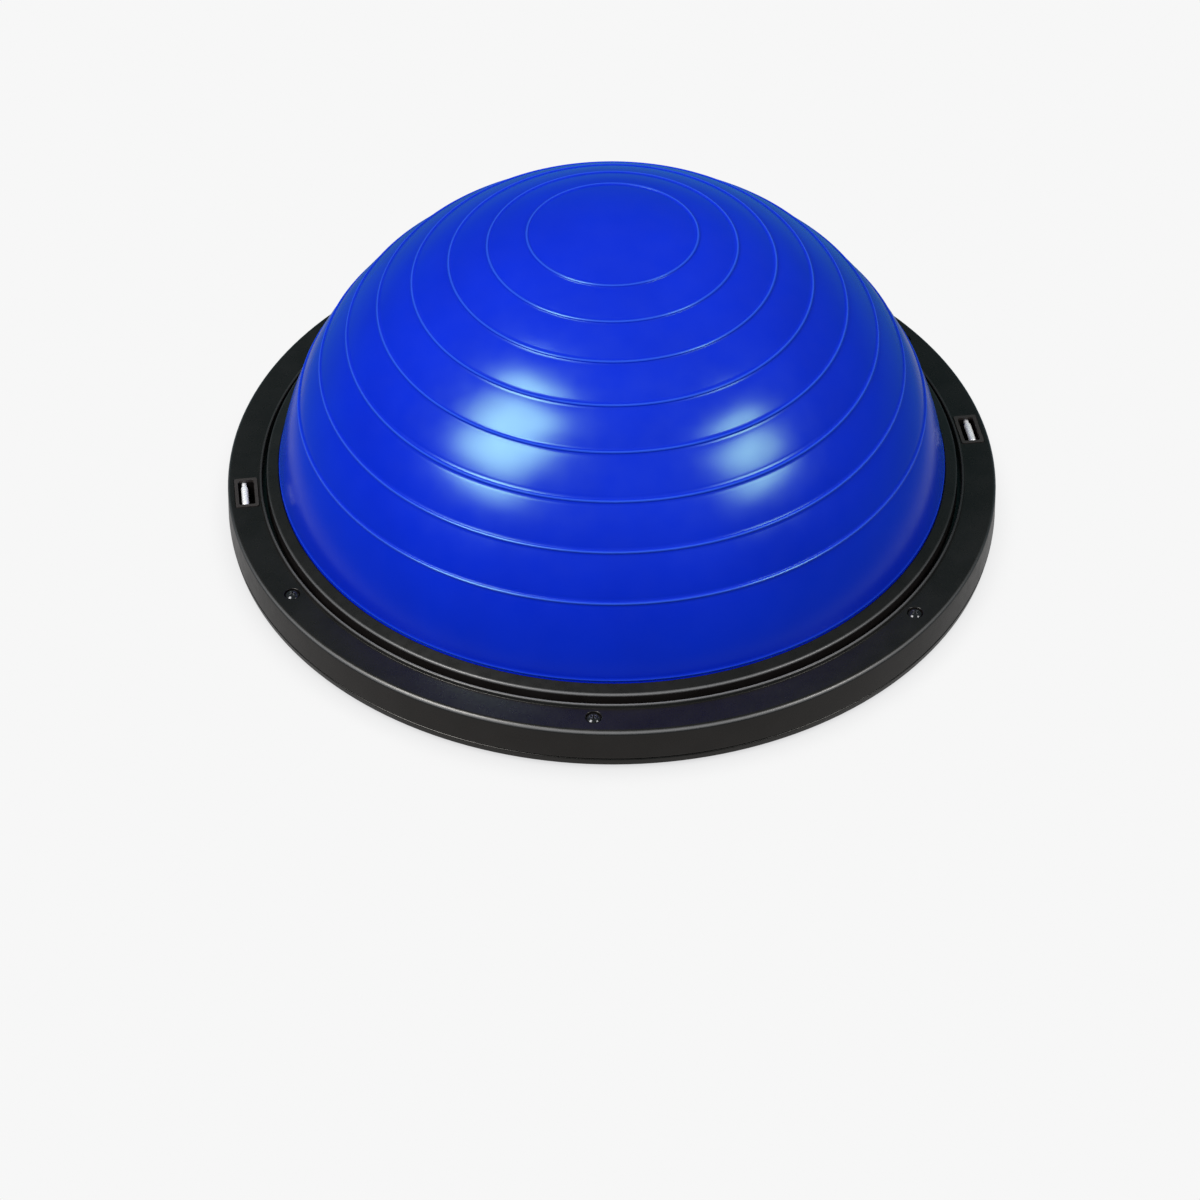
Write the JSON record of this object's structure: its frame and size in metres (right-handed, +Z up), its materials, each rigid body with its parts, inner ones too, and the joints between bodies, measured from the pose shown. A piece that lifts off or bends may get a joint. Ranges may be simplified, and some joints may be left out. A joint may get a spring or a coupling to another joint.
{
  "type": "balance dome trainer",
  "caption": "Inflated half-ball dome clamped on a round plastic platform, with band anchor slots in the rim, rubber pads and a recessed valve underneath.",
  "frame": {"origin": "on the floor under the centre of the platform, at the lowest point of the rubber pads", "axes": "+Z is up through the crown of the dome, the two band anchors lie on the X axis, and -Y is the side that faces the viewer of the picture"},
  "size_m": [0.58, 0.58, 0.2546],
  "materials": {
    "dome_pvc": "satin, slightly glossy blown PVC, royal blue",
    "black_plastic": "satin black moulded polypropylene with a fine grain",
    "screw_black": "glossy black oxide",
    "nut_steel": "zinc plated",
    "pin_steel": "bright polished",
    "pad_rubber": "matte black rubber",
    "valve_vinyl": "soft off-white vinyl"
  },
  "bodies": {
    "platform": {"dome_cuff": "dome_pvc", "dome_floor": "dome_pvc", "dome_collar": "black_plastic", "top_ring_front": "black_plastic", "top_ring_back": "black_plastic", "top_ring_left": "black_plastic", "top_ring_right": "black_plastic", "base_platform": "black_plastic", "ring_screw_1": "screw_black", "ring_screw_2": "screw_black", "ring_screw_3": "screw_black", "ring_screw_4": "screw_black", "ring_screw_5": "screw_black", "ring_screw_6": "screw_black", "captive_nut_1": "nut_steel", "captive_nut_2": "nut_steel", "captive_nut_3": "nut_steel", "captive_nut_4": "nut_steel", "captive_nut_5": "nut_steel", "captive_nut_6": "nut_steel", "anchor_cup_left": "black_plastic", "anchor_bezel_left": "black_plastic", "anchor_cup_right": "black_plastic", "anchor_bezel_right": "black_plastic", "foot_pad_1": "pad_rubber", "foot_pad_2": "pad_rubber", "foot_pad_3": "pad_rubber", "foot_pad_4": "pad_rubber", "foot_pad_5": "pad_rubber", "foot_pad_6": "pad_rubber", "foot_pad_7": "pad_rubber", "foot_pad_8": "pad_rubber", "valve_body": "valve_vinyl"},
    "dome": {"dome_skin": "dome_pvc"},
    "valve_plug": {"valve_plug": "valve_vinyl"},
    "anchor_pin_left": {"anchor_pin_left": "pin_steel"},
    "anchor_pin_right": {"anchor_pin_right": "pin_steel"}
  },
  "joints": [
    {"name": "dome_press", "type": "slide", "parent": "platform", "child": "dome", "axis": [0, 0, -1], "range_m": [0, 0.045], "stiffness_N_per_m": 11000, "springref_m": -0.006, "deforming": ["dome_skin"]},
    {"name": "valve_plug_pull", "type": "slide", "parent": "platform", "child": "valve_plug", "axis": [0, 0, -1], "range_m": [0, 0.018]},
    {"name": "anchor_pin_left_spin", "type": "hinge", "parent": "platform", "child": "anchor_pin_left", "pos_m": [-0.2763, 0, 0.031], "axis": [0, 1, 0], "continuous": true},
    {"name": "anchor_pin_right_spin", "type": "hinge", "parent": "platform", "child": "anchor_pin_right", "pos_m": [0.2763, 0, 0.031], "axis": [0, 1, 0], "continuous": true}
  ]
}
